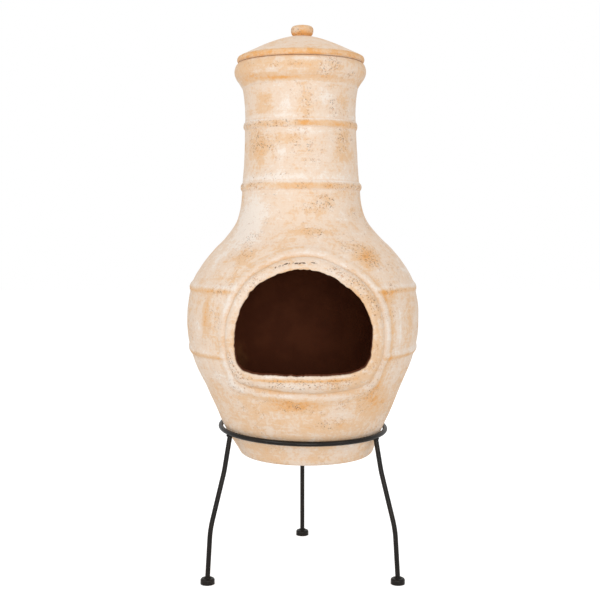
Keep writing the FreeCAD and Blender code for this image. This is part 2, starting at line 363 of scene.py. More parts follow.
# Where the crown of the surround is pitted: upper right, right along the sill, and lower left
def mouthPocks(bearing, away):
    degrees = np.degrees(bearing) % 360
    pitted = 0.12 + 0.75 * stretch(degrees, 8, 25, 62, 75) + 0.55 * stretch(degrees, 228, 240, 305, 318)
    pitted = pitted + 0.6 * stretch(degrees, 184, 194, 214, 222)
    return pitted * stretch(away, 0.003, 0.009, 0.018, 0.026)


# A drying crack that runs along the crown over the mouth, and finer dark lines just inside the edge, in
# the crease where the roll turns in: painted shade
def mouthCrackAndCreaseShade(bearing, away):
    degrees = np.degrees(bearing) % 360
    ring = around(0.12, bearing, 0.0)
    line = (11.8 + 1.2 * hills(ring, 14 * mm, 67) + 0.6 * hills(ring, 4 * mm, 68)) * mm
    broken = ease(hills(ring, 7 * mm, 79), -0.7, -0.2)
    crackAndCreaseShade = 1.2 * hump(away, line, 1.3 * mm) * stretch(degrees, 76, 84, 112, 118) * broken
    fine = hump(away, 4.2 * mm, 0.9 * mm) * ease(hills(ring, 22 * mm, 70), -0.3, 0.3)
    where = stretch(degrees, 18, 28, 66, 76) + stretch(degrees, 236, 250, 300, 315)
    return crackAndCreaseShade + 0.45 * fine * where


potLine = smoothLine(pot["outside"], 0.5)
potRun = np.r_[0, np.cumsum(np.hypot(*np.diff(potLine, axis=0).T))]
potOut = squareTo(potLine)
mouthRun = np.interp(mouth["springHeight"] * mm, potLine[:, 1], potRun)

# Degrees round from the front, height, half width and half height in mm, and amount
potMarks = {
    "rubbed": [(40, 529, 24, 13, 0.85), (-37, 529, 20, 11, 0.45), (6, 566, 36, 5, 0.35),
               (14, 600, 16, 9, 0.4), (26, 612, 12, 10, 0.3), (-52, 440, 12, 30, 0.5),
               (52, 412, 5, 20, -0.5), (62, 430, 10, 50, 0.35), (46, 470, 14, 10, 0.3),
               (-4, 303, 44, 13, 0.75), (26, 318, 30, 8, 0.45), (44, 300, 26, 24, 0.5),
               (-42, 338, 24, 20, -0.35), (-50, 585, 30, 42, -0.75), (-58, 520, 14, 16, -0.4),
               (18, 262, 50, 6, 0.35), (-24, 262, 34, 8, -0.2), (24, 284, 26, 5, -0.5),
               (-10, 283, 30, 4, -0.3), (35, 225, 20, 8, -0.3)],
    "pocked": [(40, 530, 22, 14, 1.0), (10, 602, 14, 8, 1.0), (26, 612, 14, 9, 0.8),
               (12, 566, 26, 8, 0.5), (-34, 532, 18, 9, 0.6), (-3, 296, 26, 10, 0.9),
               (12, 268, 24, 7, 0.7), (42, 322, 12, 7, 0.8), (-26, 285, 10, 6, 0.7),
               (20, 270, 10, 6, 0.8), (-44, 418, 10, 16, 0.3)],
}


# Outside of the pot at an angle and a run up its outline: the outline, moved out along its own
# square by the belly coils, the surround of the mouth and the thrown unevenness
def potSurface(angle, run):
    angle, run = np.broadcast_arrays(angle, run)
    line = [np.interp(run, potRun, potLine[:, k]) for k in (0, 1)]
    out = [np.interp(run, potRun, potOut[:, k]) for k in (0, 1)]
    bearing, away = fromMouth(angle, run - mouthRun)
    front = ease(np.cos(angle), 0.3, 0.5)
    away = np.where(front > 0, away, 1.0)
    roll, fold, crease = surround(bearing, np.maximum(away, 0))
    roll, fold, crease = roll * front, fold * front, crease * front
    places = around(line[0], angle, line[1])
    height = line[1] / mm
    band, bandMark = 0, 0
    for middle, rise in pot["bands"].items():
        offset = (height - middle - 1.0 * hills(places, 60 * mm, 7)) / pot["bandHalf"]
        coil = np.clip(1 - offset ** 2, 0, 1) ** 0.9
        band = np.maximum(band, rise * mm * coil)
        # lower half of each coil more orange where the wash is rubbed; upper half paler, partly thicker
        # wash and partly a painted highlight on its top
        bandMark = bandMark + 0.62 * hump(offset, -0.42, 0.36) - 0.28 * hump(offset, 0.5, 0.4)
    clear = ease(away - rollWidth(bearing), -0.001, 0.012)
    band, bandMark = band * clear, bandMark * clear
    lift = np.maximum(roll, softMax(fold, band, 0.002)) - crease
    lift = lift + thrown(places, 11) - pot["inset"] * mm
    lift = np.where(height < pot["ringTop"], np.minimum(lift, -pot["inset"] * mm), lift)
    strokes = hills(np.stack([away * 7, bearing * 0.03, 0 * away], -1), 30 * mm, 47)
    bareAndPaintedLight = rubbed(places, 31) + patched(angle, line[1], line[0], potMarks["rubbed"]) + bandMark
    bareAndPaintedLight = bareAndPaintedLight + (0.16 * strokes * (away < 0.075) + mouthBareAndPaintedLight(bearing, away)) * front
    bareAndPaintedLight = bareAndPaintedLight + 0.18 * ease(-height, -350, -290)
    pocks = 0.3 * hills(places, 34 * mm, 53) + patched(angle, line[1], line[0], potMarks["pocked"])
    pocks = pocks + 0.25 * np.clip(bandMark, 0, 1) + front * mouthPocks(bearing, away)
    crackAndCreaseShade = front * mouthCrackAndCreaseShade(bearing, away)
    points = around(line[0] + out[0] * lift, angle, line[1] + out[1] * lift)
    return points, {"bareAndPaintedLight": bareAndPaintedLight, "pocks": pocks, "crackAndCreaseShade": crackAndCreaseShade}


# Angle round the pot and run up its outline, at a bearing and distance from the mouth's middle
def fromBearing(bearing, away):
    angle = away * np.cos(bearing) / (mouth["belly"] * mm)
    return angle, mouthRun + away * np.sin(bearing)


# Vertex numbers round the edge of a window in a grid, anticlockwise from its lower left corner
def windowLoop(grid, low, high, left, right):
    return np.concatenate([grid[low, left:right], grid[low:high, right],
                           grid[high, right:left:-1], grid[high:low:-1, left]])


# Painted shade over the whole inside, lifted low down at the left of the back wall by a painted pool of
# light
def paintedShadeInside(angle, height):
    return 1 - 0.34 * spot(angle + 2.35, height - 0.345, 0.20, 0.040)


def makePot():
    skin = Skin("bareAndPaintedLight", "pocks", "paintedShade", "crackAndCreaseShade")
    columns = pot["columns"]
    half, below, above = mouth["window"]
    angles = allRound(columns)
    left, right = columns // 2 - half, columns // 2 + half
    windowRows = 2 * round((below + above) / pot["step"] / 2)
    lowRun, highRun = mouthRun - below * mm, mouthRun + above * mm
    rowsBelow = 2 * round(lowRun / mm / pot["step"] / 2)
    rowsAbove = 2 * round((potRun[-1] - highRun) / mm / pot["step"] / 2)
    runs = np.concatenate([np.linspace(0, lowRun, rowsBelow, endpoint=False),
                           np.linspace(lowRun, highRun, windowRows, endpoint=False),
                           np.linspace(highRun, potRun[-1], rowsAbove + 1)])
    low, high = rowsBelow, rowsBelow + windowRows

    # outside, with a window left open round the mouth
    points, marks = potSurface(angles[None, :], runs[:, None])
    outer = skin.add(points, **marks)
    keep = np.ones((len(runs) - 1, columns), bool)
    keep[low:high, left:right] = False
    skin.quads(wrap(outer), keep)

    # rays from the window's edge to where the roll turns in
    edge = windowLoop(outer, low, high, left, right)
    edgeAngle = windowLoop(np.broadcast_to(angles, outer.shape), low, high, left, right)
    edgeRun = windowLoop(np.broadcast_to(runs[:, None], outer.shape), low, high, left, right)
    x, y = edgeAngle * mouth["belly"] * mm, edgeRun - mouthRun
    bearing, far = np.arctan2(y, x), np.hypot(x, y)
    reach = mouthReach(bearing)
    share = np.linspace(0, 1, mouth["spokes"] + 1)[1:, None] ** 0.9
    circle = np.stack([np.cos(bearing), np.sin(bearing), 0 * bearing], -1)
    ragged = (1.0 * hills(circle, 0.16, 71) + 0.8 * hills(circle, 0.045, 72)) * mm
    notch = hump(np.degrees(bearing), 139, 2.2) + 0.8 * hump(np.degrees(bearing), 112, 1.8)
    ragged = ragged + 1.6 * mm * notch
    lip = mouth["lip"] * mm
    radius = far + (reach + lip - far) * share
    points, marks = potSurface(*fromBearing(bearing, radius))
    rays = skin.add(points, **marks)
    skin.quads(wrap(np.vstack([edge, rays])))

    # the lip: a quarter of an ellipse in from the roll, then straight back through the wall
    turn = np.linspace(0, math.pi / 2, 8)[1:, None]
    radius = reach + ragged + (lip - ragged) * (1 - np.sin(turn))
    points, marks = potSurface(*fromBearing(bearing, radius))
    points[..., 1] += mouth["lipDeep"] * mm * (1 - np.cos(turn))
    # painted shade where the lip turns into the mouth
    lipShade = ease(np.broadcast_to(turn, radius.shape), 1.35, 1.57)
    rim = skin.add(points, paintedShade=0.25 * lipShade, **marks)
    skin.quads(wrap(np.vstack([rays[-1], rim])))

    inLine = smoothLine(pot["inside"], 0.5)
    wallPart = inLine[:, 1] > 0.25                # the height grows steadily up there
    heightUp, radiusUp = inLine[wallPart, 1][::-1], inLine[wallPart, 0][::-1]

    def inSurface(angle, height):
        radius = np.interp(height, heightUp, radiusUp)
        return around(radius + 0.6 * thrown(around(radius, angle, height), 83), angle, height)

    front = points[-1]
    innerRadius = np.interp(front[:, 2], heightUp, radiusUp)
    backAngle = np.arcsin(front[:, 0] / innerRadius)
    back = inSurface(backAngle, front[:, 2])
    depth = np.linspace(0, 1, 9)[1:, None, None]
    jamb = front + (back - front) * depth
    # painted shade on the jamb, darker the deeper it goes into the mouth
    paintedShade = 0.3 + 0.7 * ease(np.broadcast_to(depth[..., 0], jamb.shape[:-1]), 0.0, 0.45)
    walls = skin.add(jamb, paintedShade=paintedShade, bareAndPaintedLight=0.4)
    skin.quads(wrap(np.vstack([rim[-1], walls])))

    # inside: half as many columns and rows, round a window of the same outline
    innerHeight = potLine[:, 1] - potOut[:, 1] * pot["wall"] * mm
    lowIn, highIn = np.interp([lowRun, highRun], potRun, innerHeight)
    topIn, lowEnd = inLine[0, 1], inLine[-1]
    parts = [(topIn, highIn, rowsAbove // 2), (highIn, lowIn, windowRows // 2)]
    heights = np.concatenate([np.linspace(a, b, n, endpoint=False) for a, b, n in parts])
    upper = np.column_stack([np.interp(heights, heightUp, radiusUp), heights])
    rest = inLine[inLine[:, 1] <= lowIn]
    rest = rest[np.linspace(0, len(rest) - 1, rowsBelow // 2 + 1).astype(int)]
    inRows = np.vstack([upper, rest])
    inAngles = angles[::2]
    places = around(inRows[:, :1], inAngles[None, :], inRows[:, 1:])
    lift = 0.6 * thrown(places, 83)
    lift[0] = 0
    inner = skin.add(carried(inRows, squareTo(inRows), inAngles, lift),
                     paintedShade=paintedShadeInside(inAngles[None, :], inRows[:, 1:]), bareAndPaintedLight=1.3)
    keep = np.ones((len(inRows) - 1, len(inAngles)), bool)
    top, bottom = rowsAbove // 2, rowsAbove // 2 + windowRows // 2
    keep[top:bottom, left // 2:right // 2] = False
    skin.quads(wrap(inner), keep)
    floor = skin.add(np.array([[lean(lowEnd[1]), 0.0, lowEnd[1]]]), paintedShade=1.0)
    skin.close(inner[-1], floor[0])

    # from the mouth's inner edge out to that window
    flipped = inner[::-1]
    rows = len(inRows) - 1
    loop = windowLoop(flipped, rows - bottom, rows - top, left // 2, right // 2)
    allPoints = np.vstack(skin.points)
    loopAngle = np.arctan2(allPoints[loop, 0], -allPoints[loop, 1])
    loopHeight = allPoints[loop, 2]
    share = np.linspace(0, 1, 8)[1:-1, None]
    fanAngle = backAngle[::2] + (loopAngle - backAngle[::2]) * share
    fanHeight = front[::2, 2] + (loopHeight - front[::2, 2]) * share
    fan = skin.add(inSurface(fanAngle, fanHeight), paintedShade=paintedShadeInside(fanAngle, fanHeight), bareAndPaintedLight=1.3)
    skin.halve(walls[-1], fan[0])
    skin.quads(wrap(np.vstack([fan, loop])))

    # flat top under the neck, and the underside of the base
    skin.halve(outer[-1], inner[0])
    under = skin.add(np.array([[lean(0.195), 0.0, potLine[0, 1] + 0.001]]), bareAndPaintedLight=0.5)
    skin.close(outer[0][::-1], under[0])
    return skin.build("fire_pot")


firePot = makePot()
print("fire pot:", len(firePot.data.polygons), "faces")


# A closed outline of (radius, height) carried round the axis: right-hand side out, moved along
# its square by the thrown unevenness; an outline that starts and ends on the axis is closed there
def turnedPiece(name, line, columns, lift, marks, aside=0.0):
    skin = Skin("bareAndPaintedLight", "pocks", "paintedShade")
    onAxis = line[0, 0] < 1e-6
    rows = line[1:-1] if onAxis else line
    square = squareTo(line)
    square = square[1:-1] if onAxis else square
    angles = allRound(columns)
    places = around(rows[:, :1], angles[None, :], rows[:, 1:])
    points = carried(rows, square, angles, lift(places, rows))
    values = marks(places, rows, angles)
    grid = skin.add(points + (aside, 0, 0), **values)
    if onAxis:
        skin.quads(wrap(grid))
        ends = [np.array([[lean(line[k, 1]) + aside, 0.0, line[k, 1]]]) for k in (0, -1)]
        first = {mark: value[0].mean() for mark, value in values.items()}
        last = {mark: value[-1].mean() for mark, value in values.items()}
        skin.close(grid[0][::-1], skin.add(ends[0], **first)[0])
        skin.close(grid[-1], skin.add(ends[1], **last)[0])
    else:
        skin.quads(wrapBoth(grid))
    return skin.build(name)


neck = {
    "outside": [(96.8, 638.0), (94.0, 672.0), (92.2, 708.0), (90.9, 752.0), (91.9, 779.0),
                (94.8, 799.0)],
    "inside": [(80.0, 799.0), (78.9, 770.0), (78.3, 740.0), (79.5, 700.0), (83.0, 638.0)],
    "inset": 0.5,
    "radius": 93.0,                # at which angles are turned into lengths
    "rubbed": [(0, 747, 300, 3.4, -0.35), (0, 649.5, 300, 3.4, -0.35), (-40, 765, 16, 18, 0.45),
               (6, 765, 9, 22, 0.35), (48, 760, 14, 22, 0.4), (-44, 700, 22, 24, 0.4),
               (-8, 712, 22, 10, 0.3), (50, 700, 22, 26, 0.4), (-15, 770, 10, 14, -0.4),
               (25, 775, 16, 10, -0.4), (0, 724, 60, 5, -0.35), (0, 655, 60, 5, -0.35),
               (-20, 690, 12, 10, -0.3)],
    "pocked": [(-45, 700, 22, 22, 0.9), (-6, 700, 24, 20, 0.4), (45, 700, 18, 24, 0.5),
               (-36, 762, 14, 14, 0.4), (40, 760, 16, 16, 0.5), (8, 762, 8, 18, 0.3)],
}


def makeNeck():
    outside, inside = smoothLine(neck["outside"], 2.2), smoothLine(neck["inside"], 6)
    line = np.vstack([outside, inside])
    outer = (np.arange(len(line)) < len(outside))[:, None]
    bottom, top = line[:, 1].min(), line[:, 1].max()

    def lift(places, rows):
        ends = (rows[:, 1:] < bottom + 0.1 * mm) | (rows[:, 1:] > top - 0.1 * mm)
        return np.where(ends, 0, thrown(places, 11)) - neck["inset"] * mm

    def marks(places, rows, angles):
        where = angles[None, :], rows[:, 1:], neck["radius"] * mm
        bareAndPaintedLight = rubbed(places, 131) + patched(*where, neck["rubbed"])
        pocks = 0.35 * hills(places, 34 * mm, 153) + patched(*where, neck["pocked"])
        # painted shade: the inside of the neck is coloured dark
        return {"bareAndPaintedLight": bareAndPaintedLight, "pocks": pocks, "paintedShade": np.where(outer, 0.0, 1.0)}

    return turnedPiece("neck", line, 240, lift, marks)


rim = {
    "outside": [(90.6, 787.0), (92.6, 792.5), (95.4, 798.5), (99.6, 805.5), (105.2, 813.5),
                (107.9, 822.0), (107.1, 830.0), (103.9, 835.8), (100.0, 837.9)],
    "inside": [(84.0, 837.9), (80.8, 836.6), (79.8, 833.0), (79.6, 815.0), (79.6, 787.0)],
    "radius": 107.0,
    # the first two are orange lines along the underside of the roll: painted shade under it
    "rubbed": [(-18, 804, 44, 3.0, 0.75), (24, 806, 24, 2.4, 0.4), (-56, 808, 22, 7, 0.3),
               (-2, 823, 30, 4, 0.5), (32, 822, 12, 5, 0.35), (-24, 816, 10, 4, -0.5),
               (8, 833, 34, 3, -0.4), (50, 820, 16, 8, -0.2), (0, 796, 300, 3.4, -0.5),
               (-40, 815, 10, 4, -0.35)],
    "pocked": [(-22, 824, 14, 5, 0.9), (-4, 823, 16, 4, 0.9), (24, 822, 14, 6, 1.5),
               (50, 812, 14, 6, 0.8), (-48, 826, 10, 5, 0.6)],
}


def makeRim():
    line = np.vstack([smoothLine(rim["outside"], 1.5), smoothLine(rim["inside"], 3)])
    outer = line[:, :1] > (rim["inside"][0][0] + 0.5) * mm

    def lift(places, rows):
        off = 0.9 * thrown(places, 211) - 0.45 * mm
        flat = ease(rows[:, 1:], 0.8355, 0.8375) * ease(rows[:, :1], 0.08, 0.084)
        return off * (1 - flat) * ease(rows[:, 1:], 0.788, 0.792) * (rows[:, :1] > 0.084) - 0.05 * mm

    def marks(places, rows, angles):
        where = angles[None, :], rows[:, 1:], rim["radius"] * mm
        bareAndPaintedLight = 0.18 + rubbed(places, 231) + patched(*where, rim["rubbed"])
        pocks = 0.4 * hills(places, 24 * mm, 253) + patched(*where, rim["pocked"])
        # painted shade: the inside of the rim is coloured dark
        return {"bareAndPaintedLight": bareAndPaintedLight, "pocks": pocks, "paintedShade": np.where(outer, 0.0, 0.9)}

    return turnedPiece("rolled_rim", line, 260, lift, marks)


lid = {
    "under": [[(0.0, 871.5), (25.0, 869.0), (50.0, 860.0), (65.5, 840.0)],
              [(67.5, 828.6), (75.0, 828.4)], [(77.0, 838.3), (88.0, 838.3), (100.8, 838.5)]],
    "over": [[(102.8, 839.6), (103.7, 841.6), (103.7, 845.0), (102.6, 847.4)],
             [(99.2, 849.4), (78.0, 859.3), (58.0, 868.3), (36.0, 876.6), (18.0, 881.2), (0.0, 882.4)]],
}


def makeLid():
    parts = [smoothLine(part, 1.6) for part in lid["under"] + lid["over"]]
    line = np.vstack(parts)
    hidden = sum(len(part) for part in parts[:len(lid["under"])])
    under = (np.arange(len(line)) < hidden)[1:-1, None]

    def lift(places, rows):
        off = 0.7 * thrown(places, 311) - 0.1 * mm
        return np.where(under, 0.1 * thrown(places, 311), off) * ease(rows[:, :1], 0.0, 0.012)

    def marks(places, rows, angles):
        edge = ease(rows[:, :1], 0.1000, 0.1018) * np.where(under, 0.0, 1.0)
        bareAndPaintedLight = 0.02 + 0.6 * rubbed(places, 331) + 0.66 * edge
        # painted shade on the underside of the lid, where it hangs inside the rim
        paintedShade = 0.8 * np.where(under, 1 - ease(rows[:, :1], 0.076, 0.079), 0.0)
        return {"bareAndPaintedLight": bareAndPaintedLight, "pocks": 0.4 * hills(places, 30 * mm, 353) - 0.25, "paintedShade": paintedShade}

    return turnedPiece("domed_lid", line, 260, lift, marks)


knob = {
    "aside": 1.6,                  # the knob was pressed on a little to the right of the lid's middle
    "line": [[(0.0, 878.0), (15.0, 878.5)],
             [(15.2, 883.4), (16.6, 884.6), (17.9, 887.0), (18.6, 890.5), (18.4, 894.2),
              (16.6, 897.5), (13.0, 899.2), (8.0, 899.7), (0.0, 899.8)]],
}


def makeKnob():
    line = np.vstack([smoothLine(part, 0.8) for part in knob["line"]])

    def lift(places, rows):
        return (0.5 * thrown(places, 411) - 0.15 * mm) * ease(rows[:, :1], 0.0, 0.006)

    def marks(places, rows, angles):
        low = ease(-rows[:, 1:], -0.889, -0.885)
        bareAndPaintedLight = 0.5 + rubbed(places, 431) + 0.4 * low + 0.5 * hills(places, 13 * mm, 433)
        return {"bareAndPaintedLight": bareAndPaintedLight, "pocks": 0.4 + 0.6 * hills(places, 12 * mm, 453)}

    return turnedPiece("round_knob", line, 96, lift, marks, knob["aside"] * mm)


# Coils of clay pressed on round the neck, mm
coils = {
    "lower_neck_coil": {"height": 638.0, "rise": 3.2, "half": 7.6, "seed": 511, "orangeFrom": -25},
    "upper_neck_coil": {"height": 736.0, "rise": 3.0, "half": 7.2, "seed": 541, "orangeFrom": -4},
}
coilLine = smoothLine([(106.3, 585.0), (99.8, 608.0)] + neck["outside"][:-1], 1.0)


# The face of a coil is the neck's own line pushed out by (1 - share squared) to the power 0.8,
# where share runs from -1 to 1 over its width; the back is the same line sunk into the clay
def makeCoil(name, look):
    skin = Skin("bareAndPaintedLight", "pocks", "paintedShade")
    angles = allRound(300)[None, :]
    ring = around(neck["radius"] * mm, angles, look["height"] * mm)
    middle = (look["height"] + 0.9 * hills(ring, 70 * mm, look["seed"])) * mm
    half = look["half"] * mm * (1 + 0.08 * hills(ring, 34 * mm, look["seed"] + 1))
    rise = look["rise"] * mm * (1 + 0.16 * hills(ring, 45 * mm, look["seed"] + 2))
    share = np.linspace(-1, 1, 25)[:, None]
    height = middle + half * share
    radius = np.interp(height, coilLine[:, 1], coilLine[:, 0])
    places = around(radius, angles + 0 * height, height)
    off = thrown(places, 11) - 0.8 * mm + rise * (1 - share ** 2) ** 0.8
    face = around(radius + off, angles + 0 * height, height)
    back = around(radius[::-4] - 4 * mm, angles + 0 * height[::-4], height[::-4])
    s = share + 0 * angles
    band = np.exp(-((s + 0.10) / 0.72) ** 4)
    turned = ease(np.degrees(angles) - look["orangeFrom"], -8, 8) * ease(-angles, -1.25, -0.7)
    # orange band kept low on the coil; the upper part paler, partly a painted highlight on its top
    bareAndPaintedLight = (0.20 + 0.42 * turned) * band - 0.15 * (1 - band) - 0.2 * ease(s, 0.3, 0.8)
    bareAndPaintedLight = bareAndPaintedLight + rubbed(places, look["seed"] + 7)
    bareAndPaintedLight = bareAndPaintedLight + 0.3 * band * hills(places, 22 * mm, look["seed"] + 8)
    pocks = (0.75 - 0.6 * turned + 0.8 * hills(places, 22 * mm, look["seed"] + 9)) * band
    skin.quads(wrapBoth(np.vstack([skin.add(face, bareAndPaintedLight=bareAndPaintedLight, pocks=pocks), skin.add(back)])))
    return skin.build(name)


chimneyNeck = makeNeck()
rolledRim = makeRim()
domedLid = makeLid()
roundKnob = makeKnob()
neckCoils = [makeCoil(name, look) for name, look in coils.items()]
print("neck, rim, lid, knob and coils made")


# Ring and weld beads of the stand
stand = {
    "ring": 137.1,                 # to the middle of the bar, mm
    "bar": 4.0,
    "height": 240.0,
    "aside": 0.5,
    "tilt": 1.25,                  # degrees, right-hand side down: the pot has settled that way
    "nod": 0.8,                    # degrees, front down
    "legTop": 136.0,
    "bead": 1.8,
    "ringBead": 3.5,               # radius of the beads under the ring, and how far down they sit
    "ringBeadDown": 4.4,
    "footBead": 4.4,
    "ripples": 9,
}


# Height of the ring's middle at a place x, y
def ringHeight(x, y):
    toRight, toBack = [math.tan(math.radians(stand[way])) for way in ("tilt", "nod")]
    return stand["height"] * mm - toRight * x + toBack * y


# A closed tube: rows of points joined round both ways
def makeTube(name, points):
    skin = Skin()
    skin.quads(wrapBoth(skin.add(points)))
    return skin.build(name)


# The ring: a circle carried along a circle, leaning to the right, with the slight waver of bar
# bent by hand
def makeRing():
    turn = np.linspace(0, fullTurn, 240, endpoint=False)[None, :]
    section = np.linspace(0, fullTurn, 20, endpoint=False)[:, None]
    waver = hills(around(0.137, turn, 0.24), 60 * mm, 601)
    radius = (stand["ring"] + 0.25 * waver + stand["bar"] * np.cos(section)) * mm
    x, y = radius * np.sin(turn), -radius * np.cos(turn)
    z = ringHeight(x, y) + stand["bar"] * mm * np.sin(section)
    return makeTube("round_bar_ring", np.stack([x + stand["aside"] * mm, y, z], -1))


# A bead of weld: a small round carried round an upright axis, swelling in ripples
def makeBead(name, middle, ringRadius):
    turn = np.linspace(0, fullTurn, 54, endpoint=False)[None, :]
    section = np.linspace(0, fullTurn, 14, endpoint=False)[:, None]
    ripple = np.sin(stand["ripples"] * turn + 0.8 * np.sin(turn))
    swell = stand["bead"] * mm * (1 + 0.16 * ripple + 0.08 * np.sin(4 * turn + 1))
    radius = ringRadius * mm + swell * np.cos(section)
    ring = [radius * np.cos(turn), radius * np.sin(turn), swell * np.sin(section)]
    return makeTube(name, np.array(middle) + np.stack(ring, -1))


barRing = makeRing()
beads = []
for side in ("left", "right", "rear"):
    footLow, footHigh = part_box("foot_" + side)
    foot = (footLow + footHigh) / 2
    out = math.atan2(foot.y, foot.x)
    legX, legY = [stand["legTop"] * mm * part(out) for part in (math.cos, math.sin)]
    under = ringHeight(legX, legY) - stand["ringBeadDown"] * mm
    beads.append(makeBead("ring_bead_" + side, (legX, legY, under), stand["ringBead"]))
    beads.append(makeBead("foot_bead_" + side, (foot.x, foot.y, footHigh.z), stand["footBead"]))


# Wraps a socket, so that shader maths is written as an expression
class Wire:
    def __init__(self, paint, socket):
        self.paint = paint
        self.socket = socket

    def maths(self, operation, other, swap=False):
        pair = [other, self] if swap else [self, other]
        return self.paint.add("ShaderNodeMath", {"operation": operation}, dict(enumerate(pair)))

    def __add__(self, other):
        return self.maths("ADD", other)

    def __radd__(self, other):
        return self.maths("ADD", other)

    def __sub__(self, other):
        return self.maths("SUBTRACT", other)

    def __rsub__(self, other):
        return self.maths("SUBTRACT", other, swap=True)

    def __mul__(self, other):
        return self.maths("MULTIPLY", other)

    def __rmul__(self, other):
        return self.maths("MULTIPLY", other)

    # 0 at low, 1 at high, and a smooth S between
    def between(self, low, high):
        return self.paint.add("ShaderNodeMapRange", {"interpolation_type": "SMOOTHSTEP"},
                              {"Value": self, "From Min": low, "From Max": high})


# The nodes of one material, or of the room; add() puts in any node and returns one output of it
class Paint:
    def __init__(self, owner):
        owner.use_nodes = True
        self.tree = owner.node_tree
        self.tree.nodes.clear()

    def add(self, kind, settings=None, sockets=None, out=0):
        node = self.tree.nodes.new(kind)
        for name, value in (settings or {}).items():
            setattr(node, name, value)
        for name, value in (sockets or {}).items():
            if isinstance(value, Wire):
                self.tree.links.new(value.socket, node.inputs[name])
            else:
                node.inputs[name].default_value = value
        return Wire(self, node.outputs[out]) if node.outputs else None

    # Object coordinates times a scale, one number or one for each direction
    def scaled(self, scale):
        scale = scale if isinstance(scale, tuple) else (scale,) * 3
        place = self.add("ShaderNodeTexCoord", out="Object")
        return self.add("ShaderNodeMapping", sockets={"Vector": place, "Scale": scale})

    def noise(self, scale, detail=2.0, rough=0.5, warp=0.0):
        return self.add("ShaderNodeTexNoise", sockets={
            "Vector": self.scaled(scale), "Scale": 1.0, "Detail": detail, "Roughness": rough,
            "Distortion": warp})

    def mark(self, name):
        return self.add("ShaderNodeAttribute", {"attribute_name": name}, out="Fac")

    # Colours a and b mixed by factor
    def mix(self, factor, a, b):
        a, b = [(*c, 1) if isinstance(c, tuple) else c for c in (a, b)]
        return self.add("ShaderNodeMix", {"data_type": "RGBA"}, {0: factor, 6: a, 7: b}, out=2)

    def finish(self, colour, rough, normal, specular):
        shader = self.add("ShaderNodeBsdfPrincipled", sockets={
            "Base Color": colour, "Roughness": rough, "Normal": normal,
            "Specular IOR Level": specular})
        self.add("ShaderNodeOutputMaterial", sockets={"Surface": shader})


# sRGB in 0 to 255, as a maker reads it off a sample card, to linear
def card(red, green, blue):
    return tuple(((c / 255 + 0.055) / 1.055) ** 2.4 for c in (red, green, blue))


clayColours = {
    "limewash": (242, 229, 216),
    "thinWash": (236, 213, 191),
    "clay": (232, 196, 159),
    "rawOrange": (231, 170, 104),
    "pock": (134, 100, 74),
    "greyPock": (144, 132, 120),
    "rust": (200, 144, 98),
    "crackAndCreaseShade": (96, 72, 56),
    # the last two are the browns of the painted shade inside the pot, neck, rim and lid
    "paintedShade": (124, 68, 41),
    "deepPaintedShade": (114, 61, 37),
}


